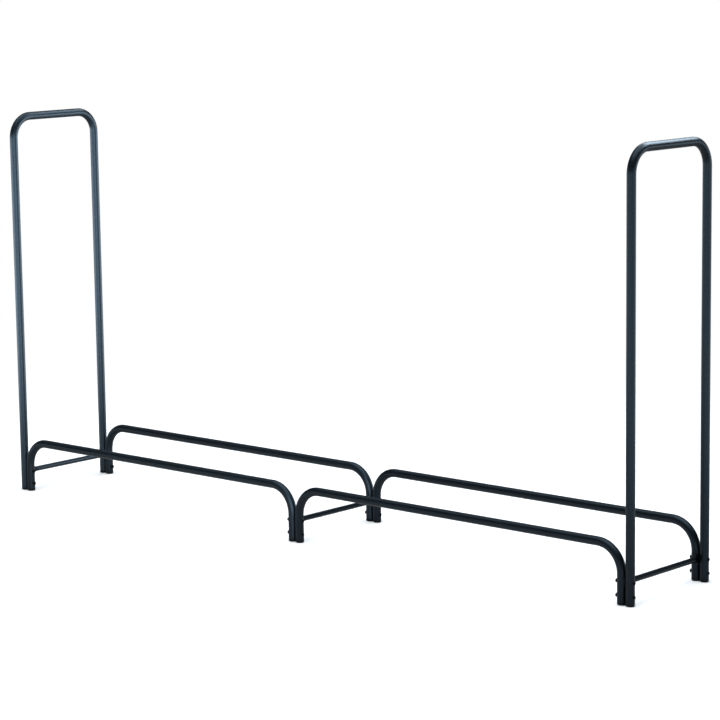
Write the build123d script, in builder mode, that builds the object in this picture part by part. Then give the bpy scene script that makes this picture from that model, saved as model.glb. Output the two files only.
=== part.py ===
from build123d import *
import math
import os

os.makedirs("parts", exist_ok=True)

# Firewood log rack: two tall end frames, four low side rails and three cross braces.
# Millimetres. X runs along the rack, Y from front to rear, Z up.
# The origin is on the ground, in the middle of the rack.

# ---- driving dimensions ----
RACK_LENGTH = 2438.0        # over the outer faces of the end frames
RACK_HEIGHT = 1219.0        # ground to the top of the end frames
LEG_SPREAD = 343.0          # front leg centre to rear leg centre
RAIL_TOP = 174.0            # ground to the top of the side rails

TUBE_DIAMETER = 25.4
TUBE_WALL = 1.2
END_BEND_RADIUS = 68.0      # to the tube's centreline
RAIL_BEND_RADIUS = 78.0     # to the tube's centreline

BRACE_DIAMETER = 15.9
BRACE_WALL = 1.1
BRACE_FLAT_WIDTH = 23.8     # a flattened tube is half its circumference wide
BRACE_FLAT_REACH = 9.0      # flat end beyond its bolt hole
BRACE_CORNER_RADIUS = 4.0   # corners of the flat end
BRACE_TAPER_LENGTH = 22.0   # from the round tube to the flat end
BRACE_TAPER_GAP = 1.5       # from the taper to the inner side of the legs

UPPER_BOLT_HEIGHT = 64.0
LOWER_BOLT_HEIGHT = 25.0
BOLT_DIAMETER = 6.0
BOLT_HOLE_DIAMETER = 6.6
BOLT_LENGTH = 60.0
BOLT_END_CHAMFER = 0.8
HEAD_DIAMETER = 10.5
HEAD_HEIGHT = 3.3
HEAD_RIM = 0.7
SOCKET_ACROSS_FLATS = 4.0
SOCKET_DEPTH = 2.0
NUT_ACROSS_FLATS = 10.0
NUT_HEIGHT = 5.0
NUT_BORE_DIAMETER = 6.1
NUT_CHAMFER_ANGLE = 30.0    # degrees, where the corners meet both faces

FOOT_HEIGHT = 8.0           # visible plastic below the tube
FOOT_EDGE_RADIUS = 4.5
FOOT_PLUG_HEIGHT = 10.0     # plug inside the tube
FOOT_PLUG_WALL = 1.6
FOOT_RIB_HEIGHT = 1.2
FOOT_RIB_DEPTH = 0.6
FOOT_RIB_COUNT = 3
FOOT_TUBE_CLEARANCE = 0.1

# ---- worked-out places ----
TUBE_RADIUS = TUBE_DIAMETER / 2
TUBE_BORE_RADIUS = TUBE_RADIUS - TUBE_WALL
BRACE_THICKNESS = 2 * BRACE_WALL
PAIR_PITCH = TUBE_DIAMETER + BRACE_THICKNESS
END_X = RACK_LENGTH / 2 - TUBE_RADIUS
RAIL_OUTER_X = END_X - PAIR_PITCH
RAIL_INNER_X = PAIR_PITCH / 2
LEG_Y = LEG_SPREAD / 2
END_BAR_Z = RACK_HEIGHT - TUBE_RADIUS
RAIL_BAR_Z = RAIL_TOP - TUBE_RADIUS
BOLT_HEIGHTS = [UPPER_BOLT_HEIGHT, LOWER_BOLT_HEIGHT]

# Middle plane of each pair of legs, and the way its bolt heads face along X.
JOINTS = {
    "left": {"x": -(END_X - PAIR_PITCH / 2), "heads": -1},
    "middle": {"x": 0.0, "heads": 1},
    "right": {"x": END_X - PAIR_PITCH / 2, "heads": 1},
}
SIDES = {"front": -LEG_Y, "rear": LEG_Y}


def end_frame(name, x):
    """A tall upside-down U of tube in the plane at x, with its four bolt holes."""
    with BuildPart() as frame:
        with BuildLine(Plane.YZ.offset(x)) as route:
            FilletPolyline(
                (-LEG_Y, FOOT_HEIGHT),
                (-LEG_Y, END_BAR_Z),
                (LEG_Y, END_BAR_Z),
                (LEG_Y, FOOT_HEIGHT),
                radius=END_BEND_RADIUS,
            )
        with BuildSketch(Plane(origin=(x, -LEG_Y, FOOT_HEIGHT))) as section:
            Circle(TUBE_RADIUS)
            Circle(TUBE_BORE_RADIUS, mode=Mode.SUBTRACT)
        sweep(path=route.line)
        with BuildSketch(Plane.YZ.offset(x)) as bolt_holes:
            with Locations([(y, z) for y in SIDES.values() for z in BOLT_HEIGHTS]):
                Circle(BOLT_HOLE_DIAMETER / 2)
        extrude(amount=TUBE_DIAMETER, both=True, mode=Mode.SUBTRACT)
    frame.part.label = name
    export_step(frame.part, f"parts/{name}.step")


def side_rail(name, x_start, x_end, y):
    """A low upside-down U of tube along X in the plane at y, with its four bolt holes."""
    with BuildPart() as rail:
        with BuildLine(Plane.XZ.offset(-y)) as route:
            FilletPolyline(
                (x_start, FOOT_HEIGHT),
                (x_start, RAIL_BAR_Z),
                (x_end, RAIL_BAR_Z),
                (x_end, FOOT_HEIGHT),
                radius=RAIL_BEND_RADIUS,
            )
        with BuildSketch(Plane(origin=(x_start, y, FOOT_HEIGHT))) as section:
            Circle(TUBE_RADIUS)
            Circle(TUBE_BORE_RADIUS, mode=Mode.SUBTRACT)
        sweep(path=route.line)
        for leg_x in (x_start, x_end):
            with BuildSketch(Plane.YZ.offset(leg_x)) as bolt_holes:
                with Locations([(y, z) for z in BOLT_HEIGHTS]):
                    Circle(BOLT_HOLE_DIAMETER / 2)
            extrude(amount=TUBE_DIAMETER, both=True, mode=Mode.SUBTRACT)
    rail.part.label = name
    export_step(rail.part, f"parts/{name}.step")


def brace_sections(x, y, facing):
    """The round and the flat section of one brace end, as the two faces of its loft."""
    start = Plane(origin=(x, y, UPPER_BOLT_HEIGHT), x_dir=(1, 0, 0), z_dir=(0, facing, 0))
    half_width = BRACE_FLAT_WIDTH / 2
    half_thickness = BRACE_THICKNESS / 2
    with BuildSketch(start) as round_section:
        with BuildLine():
            for quarter in range(4):
                CenterArc((0, 0), BRACE_DIAMETER / 2, 45 + 90 * quarter, 90)
        make_face()
    with BuildSketch(start.offset(BRACE_TAPER_LENGTH)) as flat_section:
        with BuildLine():
            Polyline(
                (half_thickness, half_width),
                (-half_thickness, half_width),
                (-half_thickness, -half_width),
                (half_thickness, -half_width),
                close=True,
            )
        make_face()
    return [round_section.sketch.face(), flat_section.sketch.face()]


def cross_brace(name, x):
    """A thin tube along Y whose ends are pressed flat and drilled for the upper bolts."""
    taper_end = LEG_Y - TUBE_RADIUS - BRACE_TAPER_GAP
    taper_start = taper_end - BRACE_TAPER_LENGTH
    flat_length = LEG_Y + BRACE_FLAT_REACH - taper_end
    ends = [brace_sections(x, facing * taper_start, facing) for facing in (-1, 1)]
    with BuildPart() as brace:
        with BuildSketch(Plane.XZ.offset(-taper_start)) as tube_section:
            with Locations((x, UPPER_BOLT_HEIGHT)):
                Circle(BRACE_DIAMETER / 2)
        extrude(amount=2 * taper_start)
        for sections in ends:
            loft(sections)
        with BuildSketch(Plane.YZ.offset(x)) as flat_ends:
            for facing in (-1, 1):
                with Locations((facing * (taper_end + flat_length / 2), UPPER_BOLT_HEIGHT)):
                    Rectangle(flat_length, BRACE_FLAT_WIDTH)
            tips = flat_ends.vertices().group_by(Axis.Y)
            fillet(tips[0] + tips[-1], BRACE_CORNER_RADIUS)
        extrude(amount=BRACE_THICKNESS / 2, both=True)
        with BuildSketch(Plane.XZ.offset(-taper_start)) as bore_section:
            with Locations((x, UPPER_BOLT_HEIGHT)):
                Circle(BRACE_DIAMETER / 2 - BRACE_WALL)
        extrude(amount=2 * taper_start, mode=Mode.SUBTRACT)
        with BuildSketch(Plane.YZ.offset(x)) as bolt_holes:
            with Locations([(y, UPPER_BOLT_HEIGHT) for y in SIDES.values()]):
                Circle(BOLT_HOLE_DIAMETER / 2)
        extrude(amount=BRACE_DIAMETER, both=True, mode=Mode.SUBTRACT)
    brace.part.label = name
    export_step(brace.part, f"parts/{name}.step")


def foot(name, x, y):
    """A plastic plug in the lower end of a leg, with a rounded foot as wide as the tube."""
    plug_radius = TUBE_BORE_RADIUS - FOOT_RIB_DEPTH
    rib_pitch = FOOT_PLUG_HEIGHT / FOOT_RIB_COUNT
    with BuildPart() as plug:
        with BuildSketch(Plane(origin=(x, y, 0))) as sole:
            Circle(TUBE_RADIUS)
        extrude(amount=FOOT_HEIGHT)
        fillet(plug.edges().group_by(Axis.Z)[0], FOOT_EDGE_RADIUS)
        with BuildSketch(Plane(origin=(x, y, FOOT_HEIGHT))) as stem:
            Circle(plug_radius)
        extrude(amount=FOOT_PLUG_HEIGHT)
        for rib in range(FOOT_RIB_COUNT):
            rib_z = FOOT_HEIGHT + (rib + 0.5) * rib_pitch
            with BuildSketch(Plane(origin=(x, y, rib_z))) as rib_section:
                Circle(TUBE_BORE_RADIUS - FOOT_TUBE_CLEARANCE)
            extrude(amount=FOOT_RIB_HEIGHT)
        with BuildSketch(Plane(origin=(x, y, FOOT_HEIGHT))) as hollow:
            Circle(plug_radius - FOOT_PLUG_WALL)
        extrude(amount=FOOT_PLUG_HEIGHT, mode=Mode.SUBTRACT)
    plug.part.label = name
    export_step(plug.part, f"parts/{name}.step")


def bolts(name, x, y, facing):
    """The two button-head bolts of a joint; x is where their heads meet the tube."""
    shank_radius = BOLT_DIAMETER / 2
    head_radius = HEAD_DIAMETER / 2
    with BuildPart() as pair:
        for z in BOLT_HEIGHTS:
            seat = Plane(origin=(x, y, z), x_dir=(facing, 0, 0), z_dir=(0, -facing, 0))
            with BuildSketch(seat) as half_profile:
                with BuildLine():
                    Polyline(
                        (HEAD_HEIGHT, 0),
                        (-BOLT_LENGTH, 0),
                        (-BOLT_LENGTH, shank_radius - BOLT_END_CHAMFER),
                        (-BOLT_LENGTH + BOLT_END_CHAMFER, shank_radius),
                        (0, shank_radius),
                        (0, head_radius),
                        (HEAD_RIM, head_radius),
                    )
                    EllipticalCenterArc((HEAD_RIM, 0), HEAD_HEIGHT - HEAD_RIM, head_radius, arc_size=90)
                make_face()
            revolve(axis=Axis((x, y, z), (1, 0, 0)))
            crown = Plane(origin=(x + facing * HEAD_HEIGHT, y, z), z_dir=(facing, 0, 0))
            with BuildSketch(crown) as socket:
                RegularPolygon(SOCKET_ACROSS_FLATS / 2, 6, major_radius=False)
            extrude(amount=-SOCKET_DEPTH, mode=Mode.SUBTRACT)
    pair.part.label = name
    export_step(pair.part, f"parts/{name}.step")


def nuts(name, x, y, facing):
    """The two hexagon nuts of a joint; x is where they meet the tube."""
    flat_radius = NUT_ACROSS_FLATS / 2
    cut_radius = 1.3 * flat_radius
    cut_depth = (cut_radius - flat_radius) * math.tan(math.radians(NUT_CHAMFER_ANGLE))
    with BuildPart() as pair:
        for z in BOLT_HEIGHTS:
            with BuildSketch(Plane(origin=(x, y, z), z_dir=(facing, 0, 0))) as hexagon:
                RegularPolygon(flat_radius, 6, major_radius=False)
                Circle(NUT_BORE_DIAMETER / 2, mode=Mode.SUBTRACT)
            extrude(amount=NUT_HEIGHT)
            seat = Plane(origin=(x, y, z), x_dir=(facing, 0, 0), z_dir=(0, -facing, 0))
            with BuildSketch(seat) as corner_cuts:
                for face, inward in ((0, 1), (NUT_HEIGHT, -1)):
                    with BuildLine():
                        Polyline(
                            (face, flat_radius),
                            (face, cut_radius),
                            (face + inward * cut_depth, cut_radius),
                            close=True,
                        )
                    make_face()
            revolve(axis=Axis((x, y, z), (1, 0, 0)), mode=Mode.SUBTRACT)
    pair.part.label = name
    export_step(pair.part, f"parts/{name}.step")


# ---- the pieces ----
for hand, facing in (("left", -1), ("right", 1)):
    end_frame(f"end_frame_{hand}", facing * END_X)
    for side, y in SIDES.items():
        side_rail(f"side_rail_{side}_{hand}", facing * RAIL_OUTER_X, facing * RAIL_INNER_X, y)
        foot(f"foot_end_frame_{hand}_{side}", facing * END_X, y)
        foot(f"foot_rail_{side}_{hand}_outer", facing * RAIL_OUTER_X, y)
        foot(f"foot_rail_{side}_{hand}_inner", facing * RAIL_INNER_X, y)

half_pair = PAIR_PITCH / 2 + TUBE_RADIUS
for place, joint in JOINTS.items():
    cross_brace(f"cross_brace_{place}", joint["x"])
    facing = joint["heads"]
    for side, y in SIDES.items():
        bolts(f"bolts_{side}_{place}", joint["x"] + facing * half_pair, y, facing)
        nuts(f"nuts_{side}_{place}", joint["x"] - facing * half_pair, y, -facing)
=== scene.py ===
import math

import bmesh
import bpy
from mathutils import Matrix, Vector


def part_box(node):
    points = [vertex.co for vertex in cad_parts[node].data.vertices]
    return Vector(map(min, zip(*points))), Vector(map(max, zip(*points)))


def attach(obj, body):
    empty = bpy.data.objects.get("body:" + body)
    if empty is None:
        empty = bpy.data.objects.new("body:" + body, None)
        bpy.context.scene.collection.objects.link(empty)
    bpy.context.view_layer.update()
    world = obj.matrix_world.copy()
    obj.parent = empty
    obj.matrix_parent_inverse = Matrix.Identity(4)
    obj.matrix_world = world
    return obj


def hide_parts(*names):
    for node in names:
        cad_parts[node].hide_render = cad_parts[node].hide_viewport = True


# Firewood log rack: black powder-coated tube, plastic feet and black M6 fasteners, in a pale
# studio. Metres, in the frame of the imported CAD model: X along the rack, Y to the rear, Z up.
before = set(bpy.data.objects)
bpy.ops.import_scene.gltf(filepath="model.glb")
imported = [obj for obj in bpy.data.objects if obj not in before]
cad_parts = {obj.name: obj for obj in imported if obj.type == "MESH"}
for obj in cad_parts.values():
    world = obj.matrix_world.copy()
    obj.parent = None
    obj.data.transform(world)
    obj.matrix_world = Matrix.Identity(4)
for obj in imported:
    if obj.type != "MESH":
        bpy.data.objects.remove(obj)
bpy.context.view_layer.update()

# ---- sizes of the real pieces that a node's box alone doesn't give ----
TUBE_RADIUS = 0.0127
TUBE_WALL = 0.0012
END_BEND_RADIUS = 0.068
RAIL_BEND_RADIUS = 0.078

BRACE_RADIUS = 0.00795
BRACE_WALL = 0.0011
BRACE_TAPER = 0.022         # from the round tube to its flattened end
BRACE_TAPER_GAP = 0.0015    # between the end of the taper and the legs
BRACE_CORNER = 0.004
BRACE_DRILL_LENGTH = 0.012

BOLT_HEIGHTS = (0.064, 0.025)
BOLT_LENGTH = 0.060
BOLT_RADIUS = 0.003
BOLT_HOLE_RADIUS = 0.0033
BOLT_TIP_LENGTH = 0.0008
BOLT_TIP_SLOPE = 0.9
THREAD_PITCH = 0.001
THREAD_DEPTH = 0.00055
THREAD_LENGTH = 0.014
THREAD_STEEPNESS = 1.25     # above 1, a flat crest is left between the grooves
HEAD_RADIUS = 0.00525
HEAD_HEIGHT = 0.0033
HEAD_RIM = 0.0007
HEAD_EDGE = 0.0001          # small chamfer under the rim
SOCKET_FLAT = 0.002         # from the axis to a flat of the hexagon
SOCKET_CORNER = SOCKET_FLAT / math.cos(math.pi / 6)
SOCKET_FLOOR_DROP = 0.00222  # the three drops are measured from the top of the crown
SOCKET_WALL_DROP = 0.00042
SOCKET_MOUTH_DROP = 0.00026
SOCKET_MOUTH = 0.0002       # how far the mouth opens out
SOCKET_TO_CROWN = 0.0003

NUT_FLAT = 0.005            # from the axis to a flat of the hexagon
NUT_CHAMFER_START = 0.97    # of the flat's distance, at the nut's two faces
NUT_CHAMFER_SLOPE = math.tan(math.radians(30))
NUT_CHAMFER_LEVELS = (0.0, 0.00012, 0.00025, 0.00040, 0.00055, 0.0007)
NUT_BORE_GAP = 0.00005
NUT_BORE_CHAMFER = 0.0006

FOOT_HEIGHT = 0.008         # visible plastic below the tube
FOOT_EDGE = 0.0045
FOOT_SOLE_MARGIN = 0.0012   # flat kept between the sole and its rounded edge
FOOT_SEAM = 0.00035
FOOT_STEM_GAP = 0.0006      # from the stem to the tube's bore
FOOT_STEM_WALL = 0.0016
FOOT_RIB_COUNT = 3
FOOT_RIB_GAP = 0.0001       # from a rib to the tube's bore
FOOT_RIB_CREST = 0.0009
FOOT_RIB_HEIGHT = 0.0012
FOOT_CAP_RADIUS = 0.0025    # the flat cap that closes the plug round its axis
FOOT_CAP_MARGIN = 0.0005

# ---- fineness of the meshes ----
ROUND_STEPS = 48            # facets round a tube
BEND_STEPS = 32             # rings in a quarter bend
TAPER_STEPS = 14
BRACE_CORNER_STEPS = 8
BRACE_CORNER_END = 2        # degrees short of the brace's end face
FOOT_EDGE_STEPS = 10
FOOT_EDGE_START = -88       # degrees, next to the sole
DRILL_STEPS = 32
DOME_STEPS = 15
DOME_STEP_ANGLE = 6         # degrees
THREAD_STEPS = 8            # rings in one pitch
NUT_STEPS = 72
CREASE = math.radians(32)
NUT_CREASE = math.radians(20)

# ---- studio ----
STUDIO_TINT = (0.78, 0.90, 1.0)
FLOOR_RADIUS = 3.4
FLOOR_FADE_START = 2.0
FLOOR_IN_REFLECTION = (0.28, 0.28, 0.28)    # what the tubes reflect in place of the pale floor
SURROUND_STRENGTH = 0.07
# a bright band just below the horizon: sines of the elevations where it fades in and out
RING_BOTTOM = (-0.42, -0.18)
RING_TOP = (-0.04, 0.08)
RING_STRENGTH = 1.65
# glows: azimuth, elevation, inner and outer half-angle in degrees, strength
RING_GLOW = (-80.0, -8.0, 10.0, 50.0, 0.3)
OVERHEAD_GLOW = (0.0, 90.0, 10.0, 50.0, 1.9)
OVERHEAD_PLACE = (0.0, -0.3, 4.5)
OVERHEAD_AIM = (0.0, 0.0, 0.0)
OVERHEAD_SIZE = (5.5, 4.5)
OVERHEAD_POWER = 330.0

# the panels are out of the camera's sight, and each lights only the tubes that it names
LEFT_FRAME = ("end_frame_left_tube",)
RIGHT_FRAME = ("end_frame_right_tube",)
LEFT_END = (
    "end_frame_left_tube", "cross_brace_left_tube",
    "side_rail_front_left_tube", "side_rail_rear_left_tube",
)
# name, place, aim, size, watts, spread in degrees, tubes it lights
PANELS = (
    ("panel_front", (0.23, -0.95, 0.6), (-1.2, 0.26, 0.6), (1.6, 1.3), 10.5, 110.0, LEFT_END),
    ("panel_rear", (-0.2, 1.2, 0.6), (-1.2, 0.0, 0.6), (1.5, 1.4), 7.6, 90.0, LEFT_END),
    ("panel_left", (-2.4, -1.5, 0.56), (-1.2, 0.0, 0.56), (1.6, 1.08), 31.0, 180.0, LEFT_FRAME),
    ("panel_near_front", (-1.1, -1.77, 0.56), (-1.2, 0.0, 0.56), (1.2, 1.08), 13.0, 180.0,
     LEFT_FRAME),
    ("panel_high", (0.5, 2.0, 3.15), (0.2, 0.0, 1.2), (4.2, 0.8), 66.0, 180.0,
     LEFT_FRAME + RIGHT_FRAME),
    ("panel_high_right", (1.47, 1.5, 2.5), (1.2, 0.0, 1.2), (1.6, 0.9), 34.0, 180.0, RIGHT_FRAME),
)

# ---- camera, at the viewing angle of a product picture: front right, slightly above ----
CAMERA_PLACE = (5.119, -5.576, 1.729)
CAMERA_YAW = math.radians(41.95)
CAMERA_PITCH = math.radians(9.09)
CAMERA_ROLL = math.radians(-0.80)
CAMERA_LENS = 129.5
CAMERA_SENSOR = 36.0
CAMERA_REACH = 100.0


# ---- mesh helpers ----
def finished(bm, name, crease=CREASE):
    """Turns a bmesh into an object with smooth faces and hard edges above the crease angle."""
    bmesh.ops.recalc_face_normals(bm, faces=bm.faces)
    for face in bm.faces:
        face.smooth = True
    for edge in bm.edges:
        edge.smooth = len(edge.link_faces) == 2 and edge.calc_face_angle(0) < crease
    mesh = bpy.data.meshes.new(name)
    bm.to_mesh(mesh)
    bm.free()
    obj = bpy.data.objects.new(name, mesh)
    bpy.context.scene.collection.objects.link(obj)
    return obj


def bridge(bm, ring_a, ring_b):
    """Quads between two closed rings with the same number of vertices."""
    count = len(ring_a)
    for i in range(count):
        j = (i + 1) % count
        bm.faces.new((ring_a[i], ring_a[j], ring_b[j], ring_b[i]))


def loft(bm, rings, closed=False):
    """Skins a list of rings of points; returns the first and last rings of vertices."""
    made = [[bm.verts.new(p) for p in ring] for ring in rings]
    for a, b in zip(made, made[1:]):
        bridge(bm, a, b)
    if closed:
        bridge(bm, made[-1], made[0])
    return made[0], made[-1]


def capped_loft(bm, rings):
    """Skins a list of rings of points and closes both ends with a flat face."""
    first, last = loft(bm, rings)
    bm.faces.new(first)
    bm.faces.new(last)


def full_turn(steps):
    """Angles that divide a full turn evenly."""
    return [2 * math.pi * i / steps for i in range(steps)]


def polar(radius, angle, height):
    """The point at a radius, angle and height about Z."""
    return Vector((radius * math.cos(angle), radius * math.sin(angle), height))


def lathe(bm, profile, placing, steps=ROUND_STEPS):
    """Revolves (radius, height) points about the placing's Z and closes both ends."""
    angles = full_turn(steps)
    capped_loft(bm, [[placing @ polar(radius, a, height) for a in angles]
                     for radius, height in profile])


def arc(centre, radius, start, end, steps):
    """Points (u, v) on an arc, angles in degrees, both ends included."""
    points = []
    for i in range(steps + 1):
        angle = math.radians(start + (end - start) * i / steps)
        points.append((centre[0] + radius * math.cos(angle), centre[1] + radius * math.sin(angle)))
    return points


def hexagon(flat, angle):
    """Radius at an angle of a hexagon whose flats are that far from its axis."""
    return flat / math.cos((angle + math.pi / 6) % (math.pi / 3) - math.pi / 6)


def cut(obj, cutters):
    """Subtracts the cutter objects from obj for good and removes them."""
    for cutter in cutters:
        modifier = obj.modifiers.new("cut", "BOOLEAN")
        modifier.operation = "DIFFERENCE"
        modifier.solver = "EXACT"
        modifier.object = cutter
    bpy.context.view_layer.update()
    depsgraph = bpy.context.evaluated_depsgraph_get()
    mesh = bpy.data.meshes.new_from_object(obj.evaluated_get(depsgraph))
    name = obj.name
    bm = bmesh.new()
    bm.from_mesh(mesh)
    for old in (*cutters, obj):
        bpy.data.objects.remove(old)
    return finished(bm, name)


def cross_drill(centre, length):
    """A rod along X to cut a bolt hole with, centred on centre."""
    bm = bmesh.new()
    turn = Vector((1, 0, 0)).to_track_quat("Z", "Y").to_matrix().to_4x4()
    profile = [(BOLT_HOLE_RADIUS, -length / 2), (BOLT_HOLE_RADIUS, length / 2)]
    lathe(bm, profile, Matrix.Translation(centre) @ turn, DRILL_STEPS)
    return finished(bm, "drill")


# ---- procedural materials ----
def coordinates(tree):
    """Object coordinates: every object sits at the origin, so they are metres in the frame."""
    return tree.nodes.new("ShaderNodeTexCoord").outputs["Object"]


def noise(tree, vector, scale, detail=3.0, roughness=0.5):
    node = tree.nodes.new("ShaderNodeTexNoise")
    node.inputs["Scale"].default_value = scale
    node.inputs["Detail"].default_value = detail
    node.inputs["Roughness"].default_value = roughness
    tree.links.new(vector, node.inputs["Vector"])
    return node.outputs["Fac"]


def ramp(tree, factor, stops):
    """A colour ramp from its (place, colour) stops."""
    node = tree.nodes.new("ShaderNodeValToRGB")
    while len(node.color_ramp.elements) < len(stops):
        node.color_ramp.elements.new(0.5)
    for element, (place, colour) in zip(node.color_ramp.elements, stops):
        element.position = place
        element.color = (*colour, 1.0)
    tree.links.new(factor, node.inputs["Fac"])
    return node.outputs["Color"]


def spread(tree, factor, low, high):
    """Maps the noise's middle range onto low to high."""
    node = tree.nodes.new("ShaderNodeMapRange")
    node.inputs["From Min"].default_value = 0.3
    node.inputs["From Max"].default_value = 0.7
    node.inputs["To Min"].default_value = low
    node.inputs["To Max"].default_value = high
    tree.links.new(factor, node.inputs["Value"])
    return node.outputs["Result"]


def bump(tree, height, strength, distance, normal=None):
    node = tree.nodes.new("ShaderNodeBump")
    node.inputs["Strength"].default_value = strength
    node.inputs["Distance"].default_value = distance
    tree.links.new(height, node.inputs["Height"])
    if normal is not None:
        tree.links.new(normal, node.inputs["Normal"])
    return node.outputs["Normal"]


def new_material(name):
    material = bpy.data.materials.new(name)
    material.use_nodes = True
    tree = material.node_tree
    return material, tree, tree.nodes["Principled BSDF"]


def powder_coat():
    """Black satin powder coat: faint blue-black mottle, orange peel and a fine grain."""
    material, tree, shader = new_material("powder_coat")
    place = coordinates(tree)
    mottle = noise(tree, place, scale=38.0, detail=4.0)
    peel = noise(tree, place, scale=420.0, detail=2.0)
    grain = noise(tree, place, scale=2600.0, detail=2.0)
    colour = ramp(tree, mottle, [(0.30, (0.0018, 0.0026, 0.0034)),
                                 (0.72, (0.0028, 0.0039, 0.0050))])
    tree.links.new(colour, shader.inputs["Base Color"])
    tree.links.new(spread(tree, peel, low=0.30, high=0.40), shader.inputs["Roughness"])
    peel_normal = bump(tree, peel, strength=0.20, distance=0.00030)
    grain_normal = bump(tree, grain, strength=0.12, distance=0.00006, normal=peel_normal)
    tree.links.new(grain_normal, shader.inputs["Normal"])
    shader.inputs["Specular IOR Level"].default_value = 0.50
    shader.inputs["Specular Tint"].default_value = (0.62, 0.82, 1.0, 1.0)
    return material


def foot_plastic():
    """Moulded black polyethylene: matt, with a fine spark-eroded texture."""
    material, tree, shader = new_material("foot_plastic")
    place = coordinates(tree)
    mottle = noise(tree, place, scale=120.0, detail=3.0)
    texture = noise(tree, place, scale=3200.0, detail=3.0, roughness=0.6)
    colour = ramp(tree, mottle, [(0.3, (0.0050, 0.0055, 0.0062)), (0.7, (0.0085, 0.0090, 0.0100))])
    tree.links.new(colour, shader.inputs["Base Color"])
    tree.links.new(spread(tree, texture, low=0.48, high=0.62), shader.inputs["Roughness"])
    tree.links.new(bump(tree, texture, strength=0.25, distance=0.00008), shader.inputs["Normal"])
    shader.inputs["Specular IOR Level"].default_value = 0.30
    return material


def black_zinc():
    """Black zinc-plated steel: dark, slightly uneven, semi-matt metal."""
    material, tree, shader = new_material("black_zinc")
    place = coordinates(tree)
    cloud = noise(tree, place, scale=260.0, detail=4.0)
    scratch = noise(tree, place, scale=1900.0, detail=3.0, roughness=0.7)
    colour = ramp(tree, cloud, [(0.30, (0.004, 0.004, 0.0045)), (0.75, (0.011, 0.0105, 0.010))])
    tree.links.new(colour, shader.inputs["Base Color"])
    tree.links.new(spread(tree, cloud, low=0.34, high=0.50), shader.inputs["Roughness"])
    tree.links.new(bump(tree, scratch, strength=0.15, distance=0.00005), shader.inputs["Normal"])
    shader.inputs["Metallic"].default_value = 0.6
    return material


MATERIALS = {
    "powder_coat": powder_coat(),
    "black_zinc": black_zinc(),
    "foot_plastic": foot_plastic(),
}


def place_piece(obj, node, slot):
    """Gives a finished piece its material and its place in the frame."""
    obj.data.materials.clear()
    obj.data.materials.append(MATERIALS[slot])
    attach(obj, "root")
    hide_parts(node)


# ---- bent tubes ----
def centreline(points, bend_radius):
    """Points and directions along a route of straight runs and round right-angle bends."""
    stations = [(points[0], (points[1] - points[0]).normalized())]
    for before, corner, after in zip(points, points[1:], points[2:]):
        inward = (corner - before).normalized()
        outward = (after - corner).normalized()
        centre = corner + (outward - inward) * bend_radius
        for step in range(BEND_STEPS + 1):
            angle = math.pi / 2 * step / BEND_STEPS
            spoke = inward * math.sin(angle) - outward * math.cos(angle)
            heading = inward * math.cos(angle) + outward * math.sin(angle)
            stations.append((centre + spoke * bend_radius, heading))
    stations.append((points[-1], (points[-1] - points[-2]).normalized()))
    return stations


def bent_tube(name, points, bend_radius, side):
    """A hollow round tube along the route; side is the direction square to the route's plane."""
    bm = bmesh.new()
    angles = full_turn(ROUND_STEPS)
    walls = []
    for radius in (TUBE_RADIUS, TUBE_RADIUS - TUBE_WALL):
        rings = []
        for centre, heading in centreline(points, bend_radius):
            up = side.cross(heading)
            rings.append([centre + side * (radius * math.cos(a)) + up * (radius * math.sin(a))
                          for a in angles])
        walls.append(loft(bm, rings))
    (outer_start, outer_end), (inner_start, inner_end) = walls
    bridge(bm, outer_start, inner_start)
    bridge(bm, outer_end, inner_end)
    return finished(bm, name)


def tube_piece(node, bend_radius, along_x):
    """Rebuilds an upside-down U of tube at full smoothness, with its drilled bolt holes."""
    low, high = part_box(node)
    run, side = Vector((1, 0, 0)), Vector((0, 1, 0))
    if not along_x:
        run, side = side, run
    middle = (low + high) / 2
    half = abs((high - low).dot(run)) / 2 - TUBE_RADIUS
    top = Vector((middle.x, middle.y, high.z - TUBE_RADIUS))
    bottom = Vector((middle.x, middle.y, low.z))
    route = [bottom - run * half, top - run * half, top + run * half, bottom + run * half]
    tube = bent_tube(node + "_tube", route, bend_radius, side)
    drills = [cross_drill((leg.x, leg.y, height), 4 * TUBE_RADIUS)
              for leg in (route[0], route[-1]) for height in BOLT_HEIGHTS]
    place_piece(cut(tube, drills), node, "powder_coat")


# ---- cross braces ----
def flattened_section(share, width, thickness):
    """Section points (x, z), a share of the way from the round tube to its flattened end."""
    edge = thickness / 2
    half_flat = (width - thickness) / 2
    points = []
    for angle in full_turn(ROUND_STEPS):
        flat_z = width / 2 * math.sin(angle)
        past_flat = max(abs(flat_z) - half_flat, 0.0)
        flat_x = math.copysign(math.sqrt(max(edge ** 2 - past_flat ** 2, 0.0)), math.cos(angle))
        round_x = BRACE_RADIUS * math.cos(angle)
        round_z = BRACE_RADIUS * math.sin(angle)
        points.append((round_x + (flat_x - round_x) * share, round_z + (flat_z - round_z) * share))
    return points


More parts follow.
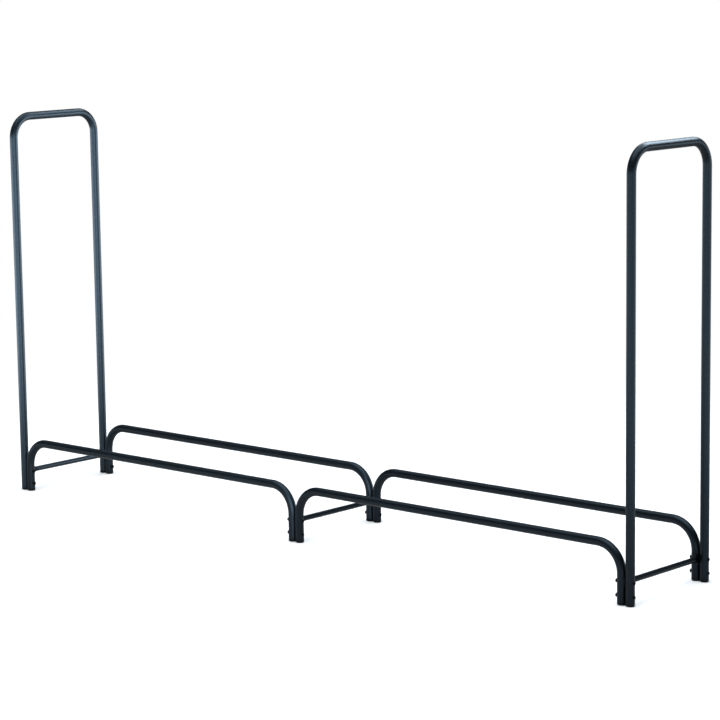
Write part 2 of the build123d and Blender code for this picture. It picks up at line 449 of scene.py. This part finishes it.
def brace_piece(node):
    """A thin tube whose ends are pressed flat between the legs, with rounded corners and holes."""
    low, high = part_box(node)
    centre = (low + high) / 2
    half = (high.y - low.y) / 2
    width = high.z - low.z
    leg_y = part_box("end_frame_left")[1].y - TUBE_RADIUS
    taper_start = leg_y - TUBE_RADIUS - BRACE_TAPER_GAP - BRACE_TAPER
    # distance from the middle, share of the flattening, width of the flattened section
    stations = []
    for i in range(TAPER_STEPS + 1):
        t = i / TAPER_STEPS
        stations.append((taper_start + BRACE_TAPER * t, t * t * (3 - 2 * t), width))
    corner = arc((half - BRACE_CORNER, width / 2 - BRACE_CORNER), BRACE_CORNER,
                 90, BRACE_CORNER_END, BRACE_CORNER_STEPS)
    stations += [(y, 1.0, 2 * z) for y, z in corner]
    mirrored = [(-y, share, section_width) for y, share, section_width in reversed(stations)]
    rings = []
    for y, share, section_width in (*mirrored, (0.0, 0.0, width), *stations):
        section = flattened_section(share, section_width, 2 * BRACE_WALL)
        rings.append([Vector((centre.x + x, centre.y + y, centre.z + z)) for x, z in section])
    bm = bmesh.new()
    capped_loft(bm, rings)
    brace = finished(bm, node + "_tube")
    drills = [cross_drill((centre.x, end * leg_y, centre.z), BRACE_DRILL_LENGTH)
              for end in (-1, 1)]
    place_piece(cut(brace, drills), node, "powder_coat")


# ---- feet ----
def foot_piece(node):
    """A plastic plug: rounded sole, a fine seam below the tube, and a ribbed stem inside it."""
    low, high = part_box(node)
    centre = (low + high) / 2
    top = high.z - low.z
    bore = TUBE_RADIUS - TUBE_WALL
    stem = bore - FOOT_STEM_GAP
    stem_inside = stem - FOOT_STEM_WALL
    crest = bore - FOOT_RIB_GAP
    edge_centre = TUBE_RADIUS - FOOT_EDGE
    profile = [(FOOT_CAP_RADIUS, 0.0), (FOOT_CAP_RADIUS + FOOT_CAP_MARGIN, 0.0),
               (edge_centre - FOOT_SOLE_MARGIN, 0.0)]
    profile += arc((edge_centre, FOOT_EDGE), FOOT_EDGE, FOOT_EDGE_START, 0, FOOT_EDGE_STEPS)
    profile += [(TUBE_RADIUS, FOOT_HEIGHT - FOOT_SEAM), (TUBE_RADIUS - FOOT_SEAM, FOOT_HEIGHT),
                (stem, FOOT_HEIGHT)]
    rib_pitch = (top - FOOT_HEIGHT) / FOOT_RIB_COUNT
    for rib in range(FOOT_RIB_COUNT):
        base = FOOT_HEIGHT + (rib + 0.5) * rib_pitch
        profile += [(stem, base), (crest, base), (crest, base + FOOT_RIB_CREST),
                    (stem, base + FOOT_RIB_HEIGHT)]
    profile += [(stem, top), (stem_inside, top), (stem_inside, FOOT_HEIGHT),
                (FOOT_CAP_RADIUS, FOOT_HEIGHT)]
    bm = bmesh.new()
    lathe(bm, profile, Matrix.Translation((centre.x, centre.y, low.z)))
    place_piece(finished(bm, node + "_plug"), node, "foot_plastic")


# ---- fasteners ----
def thread_radius(angle, along):
    """Radius of the bolt at an angle and a distance along its thread."""
    phase = (along / THREAD_PITCH + angle / (2 * math.pi)) % 1.0
    ridge = min(1.0, THREAD_STEEPNESS * abs(2 * phase - 1))
    run_in = min(1.0, along / THREAD_PITCH)
    tip = max(0.0, BOLT_TIP_LENGTH - (THREAD_LENGTH - along)) * BOLT_TIP_SLOPE
    return BOLT_RADIUS - max(THREAD_DEPTH * run_in * (1 - ridge), tip)


def bolt_mesh(bm, placing):
    """A button-head bolt: its head above the placing's origin, its threaded shank below it."""
    angles = full_turn(ROUND_STEPS)
    rings = []

    def add_ring(radii, height):
        rings.append([placing @ polar(radius, a, height) for radius, a in zip(radii, angles)])

    def add_round(radius, height):
        add_ring([radius] * ROUND_STEPS, height)

    # socket
    socket = [hexagon(SOCKET_FLAT, a) for a in angles]
    add_ring(socket, HEAD_HEIGHT - SOCKET_FLOOR_DROP)
    add_ring(socket, HEAD_HEIGHT - SOCKET_WALL_DROP)
    add_ring([radius + SOCKET_MOUTH for radius in socket], HEAD_HEIGHT - SOCKET_MOUTH_DROP)
    # crown, from the socket out to the rim
    for i in reversed(range(DOME_STEPS)):
        angle = math.radians(DOME_STEP_ANGLE * i)
        radius = HEAD_RADIUS * math.cos(angle)
        if radius > SOCKET_CORNER + SOCKET_TO_CROWN:
            add_round(radius, HEAD_RIM + (HEAD_HEIGHT - HEAD_RIM) * math.sin(angle))
    # underside and plain shank
    add_round(HEAD_RADIUS - HEAD_EDGE, HEAD_EDGE)
    add_round(HEAD_RADIUS - 3 * HEAD_EDGE, 0.0)
    add_round(BOLT_RADIUS, 0.0)
    plain = BOLT_LENGTH - THREAD_LENGTH
    add_round(BOLT_RADIUS, -plain)
    # thread
    steps = THREAD_STEPS * int(THREAD_LENGTH / THREAD_PITCH)
    for i in range(1, steps + 1):
        along = THREAD_LENGTH * i / steps
        add_ring([thread_radius(a, along) for a in angles], -plain - along)
    capped_loft(bm, rings)


def nut_mesh(bm, placing, height):
    """A hexagon nut with its corners turned to a chamfer at both faces."""
    angles = full_turn(NUT_STEPS)

    def outline(a, level):
        from_face = min(level, height - level)
        chamfer = NUT_FLAT * NUT_CHAMFER_START + from_face / NUT_CHAMFER_SLOPE
        return min(hexagon(NUT_FLAT, a), chamfer)

    levels = [*NUT_CHAMFER_LEVELS, *(height - level for level in reversed(NUT_CHAMFER_LEVELS))]
    rings = [[placing @ polar(outline(a, level), a, level) for a in angles] for level in levels]
    bore = BOLT_RADIUS + NUT_BORE_GAP
    for radius, level in (
        (bore + NUT_BORE_CHAMFER, height),
        (bore, height - NUT_BORE_CHAMFER),
        (bore, NUT_BORE_CHAMFER),
        (bore + NUT_BORE_CHAMFER, 0.0),
    ):
        rings.append([placing @ polar(radius, a, level) for a in angles])
    loft(bm, rings, closed=True)


def fastener_placing(x, y, height, facing):
    """A place on a joint's bolt line, with Z turned along X towards facing."""
    return Matrix.Translation((x, y, height)) @ Matrix.Rotation(facing * math.pi / 2, 4, "Y")


def bolts_piece(node, facing):
    """The two bolts of a joint, with their heads towards facing."""
    low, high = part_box(node)
    centre = (low + high) / 2
    end = high.x if facing > 0 else low.x
    seat = end - facing * (high.x - low.x - BOLT_LENGTH)
    bm = bmesh.new()
    for height in BOLT_HEIGHTS:
        bolt_mesh(bm, fastener_placing(seat, centre.y, height, facing))
    place_piece(finished(bm, node + "_steel"), node, "black_zinc")


def nuts_piece(node, facing):
    """The two nuts of a joint, seated on the leg that they face away from."""
    low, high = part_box(node)
    centre = (low + high) / 2
    seat = low.x if facing > 0 else high.x
    bm = bmesh.new()
    for height in BOLT_HEIGHTS:
        nut_mesh(bm, fastener_placing(seat, centre.y, height, facing), high.x - low.x)
    place_piece(finished(bm, node + "_steel", NUT_CREASE), node, "black_zinc")


# ---- studio helpers ----
def area_light(name, place, aim, size, power, colour=(1.0, 1.0, 1.0)):
    """A rectangular soft light at a place, facing its aim."""
    light = bpy.data.lights.new(name, "AREA")
    light.shape = "RECTANGLE"
    light.size, light.size_y = size
    light.energy = power
    light.color = colour
    obj = bpy.data.objects.new(name, light)
    obj.location = place
    obj.rotation_euler = (Vector(aim) - Vector(place)).to_track_quat("-Z", "Y").to_euler()
    bpy.context.scene.collection.objects.link(obj)
    return obj


def light_only(light, pieces):
    """Keeps a studio light to the named pieces, as flags and grids do round a real set."""
    receivers = bpy.data.collections.new(light.name + "_receivers")
    for piece in pieces:
        receivers.objects.link(bpy.data.objects[piece])
    light.light_linking.receiver_collection = receivers


def mix_shaders(tree, factor, first, second):
    mix = tree.nodes.new("ShaderNodeMixShader")
    for socket, source in zip(mix.inputs, (factor, first, second)):
        tree.links.new(source, socket)
    return mix.outputs[0]


def step_range(tree, value, start, end, low, high):
    """Smoothly maps start..end of a value onto low..high."""
    node = tree.nodes.new("ShaderNodeMapRange")
    node.interpolation_type = "SMOOTHSTEP"
    node.inputs["From Min"].default_value = start
    node.inputs["From Max"].default_value = end
    node.inputs["To Min"].default_value = low
    node.inputs["To Max"].default_value = high
    tree.links.new(value, node.inputs["Value"])
    return node.outputs["Result"]


def studio_floor():
    """A round pale matt floor under the rack, fading into the white backdrop at its rim."""
    bm = bmesh.new()
    bmesh.ops.create_circle(bm, cap_ends=True, segments=128, radius=FLOOR_RADIUS)
    floor = finished(bm, "studio_floor")
    material, tree, shader = new_material("pale_floor")
    place = coordinates(tree)
    speckle = ramp(tree, noise(tree, place, scale=30.0),
                   [(0.3, (0.86, 0.86, 0.86)), (0.7, (0.88, 0.88, 0.88))])
    tree.links.new(speckle, shader.inputs["Base Color"])
    shader.inputs["Roughness"].default_value = 0.9
    shader.inputs["Specular IOR Level"].default_value = 0.1
    dull = tree.nodes.new("ShaderNodeBsdfDiffuse")
    dull.inputs["Color"].default_value = (*FLOOR_IN_REFLECTION, 1.0)
    ray = tree.nodes.new("ShaderNodeLightPath")
    surface = mix_shaders(tree, ray.outputs["Is Glossy Ray"], shader.outputs[0], dull.outputs[0])
    distance = tree.nodes.new("ShaderNodeVectorMath")
    distance.operation = "LENGTH"
    tree.links.new(place, distance.inputs[0])
    rim = step_range(tree, distance.outputs["Value"], FLOOR_FADE_START, FLOOR_RADIUS, 0.0, 1.0)
    clear = tree.nodes.new("ShaderNodeBsdfTransparent")
    faded = mix_shaders(tree, rim, surface, clear.outputs[0])
    tree.links.new(faded, tree.nodes["Material Output"].inputs["Surface"])
    floor.data.materials.append(material)


def glow(tree, direction, azimuth, elevation, inner, outer, strength):
    """A soft round patch of light on the studio's surround; angles in degrees."""
    a, e = math.radians(azimuth), math.radians(elevation)
    dot = tree.nodes.new("ShaderNodeVectorMath")
    dot.operation = "DOT_PRODUCT"
    dot.inputs[1].default_value = polar(math.cos(e), a, math.sin(e))
    tree.links.new(direction, dot.inputs[0])
    return step_range(tree, dot.outputs["Value"], math.cos(math.radians(outer)),
                      math.cos(math.radians(inner)), 0.0, strength)


def combine(tree, operation, first, second):
    """A maths node on two values, each a plain number or another node's output."""
    node = tree.nodes.new("ShaderNodeMath")
    node.operation = operation
    for socket, value in zip(node.inputs, (first, second)):
        if isinstance(value, float):
            socket.default_value = value
        else:
            tree.links.new(value, socket)
    return node.outputs[0]


def studio_world():
    """White backdrop for the camera; for light and reflections, a dim surround with soft glows."""
    world = bpy.data.worlds.new("studio")
    bpy.context.scene.world = world
    world.use_nodes = True
    tree = world.node_tree
    direction = tree.nodes.new("ShaderNodeTexCoord").outputs["Generated"]
    axes = tree.nodes.new("ShaderNodeSeparateXYZ")
    tree.links.new(direction, axes.inputs[0])
    height = axes.outputs["Z"]
    ring = combine(tree, "MULTIPLY", step_range(tree, height, *RING_BOTTOM, 0.0, 1.0),
                   step_range(tree, height, *RING_TOP, 1.0, 0.0))
    ring_glow = combine(tree, "ADD", glow(tree, direction, *RING_GLOW), RING_STRENGTH)
    total = combine(tree, "ADD", combine(tree, "MULTIPLY", ring, ring_glow), SURROUND_STRENGTH)
    total = combine(tree, "ADD", total, glow(tree, direction, *OVERHEAD_GLOW))
    surround = tree.nodes["Background"]
    surround.inputs["Color"].default_value = (*STUDIO_TINT, 1.0)
    tree.links.new(total, surround.inputs["Strength"])
    backdrop = tree.nodes.new("ShaderNodeBackground")
    backdrop.inputs["Color"].default_value = (1.0, 1.0, 1.0, 1.0)
    ray = tree.nodes.new("ShaderNodeLightPath")
    seen = mix_shaders(tree, ray.outputs["Is Camera Ray"], surround.outputs[0], backdrop.outputs[0])
    tree.links.new(seen, tree.nodes["World Output"].inputs["Surface"])


def studio_lights():
    """A soft light overhead, and panels that each light only some of the tubes."""
    overhead = area_light("overhead", OVERHEAD_PLACE, OVERHEAD_AIM, OVERHEAD_SIZE, OVERHEAD_POWER)
    overhead.visible_glossy = False
    for name, place, aim, size, power, spread_angle, tubes in PANELS:
        panel = area_light(name, place, aim, size, power, STUDIO_TINT)
        panel.data.spread = math.radians(spread_angle)
        panel.visible_camera = False
        light_only(panel, tubes)


def studio_camera():
    """The camera, turned from level by its yaw, pitch and roll."""
    data = bpy.data.cameras.new("camera")
    data.lens = CAMERA_LENS
    data.sensor_width = CAMERA_SENSOR
    data.clip_end = CAMERA_REACH
    camera = bpy.data.objects.new("camera", data)
    camera.matrix_world = (
        Matrix.Translation(CAMERA_PLACE)
        @ Matrix.Rotation(CAMERA_YAW, 4, "Z")
        @ Matrix.Rotation(math.pi / 2 - CAMERA_PITCH, 4, "X")
        @ Matrix.Rotation(CAMERA_ROLL, 4, "Z")
    )
    bpy.context.scene.collection.objects.link(camera)
    bpy.context.scene.camera = camera


# ---- build every piece ----
for hand in ("left", "right"):
    tube_piece(f"end_frame_{hand}", END_BEND_RADIUS, along_x=False)
for side in ("front", "rear"):
    for hand in ("left", "right"):
        tube_piece(f"side_rail_{side}_{hand}", RAIL_BEND_RADIUS, along_x=True)
for node in sorted(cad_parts):
    if node.startswith("cross_brace_"):
        brace_piece(node)
    elif node.startswith("foot_"):
        foot_piece(node)
    elif node.startswith("bolts_"):
        bolts_piece(node, -1 if node.endswith("_left") else 1)
    elif node.startswith("nuts_"):
        nuts_piece(node, 1 if node.endswith("_left") else -1)

# ---- studio and camera ----
studio_floor()
studio_world()
studio_lights()
studio_camera()
bpy.context.scene.view_settings.view_transform = "Standard"
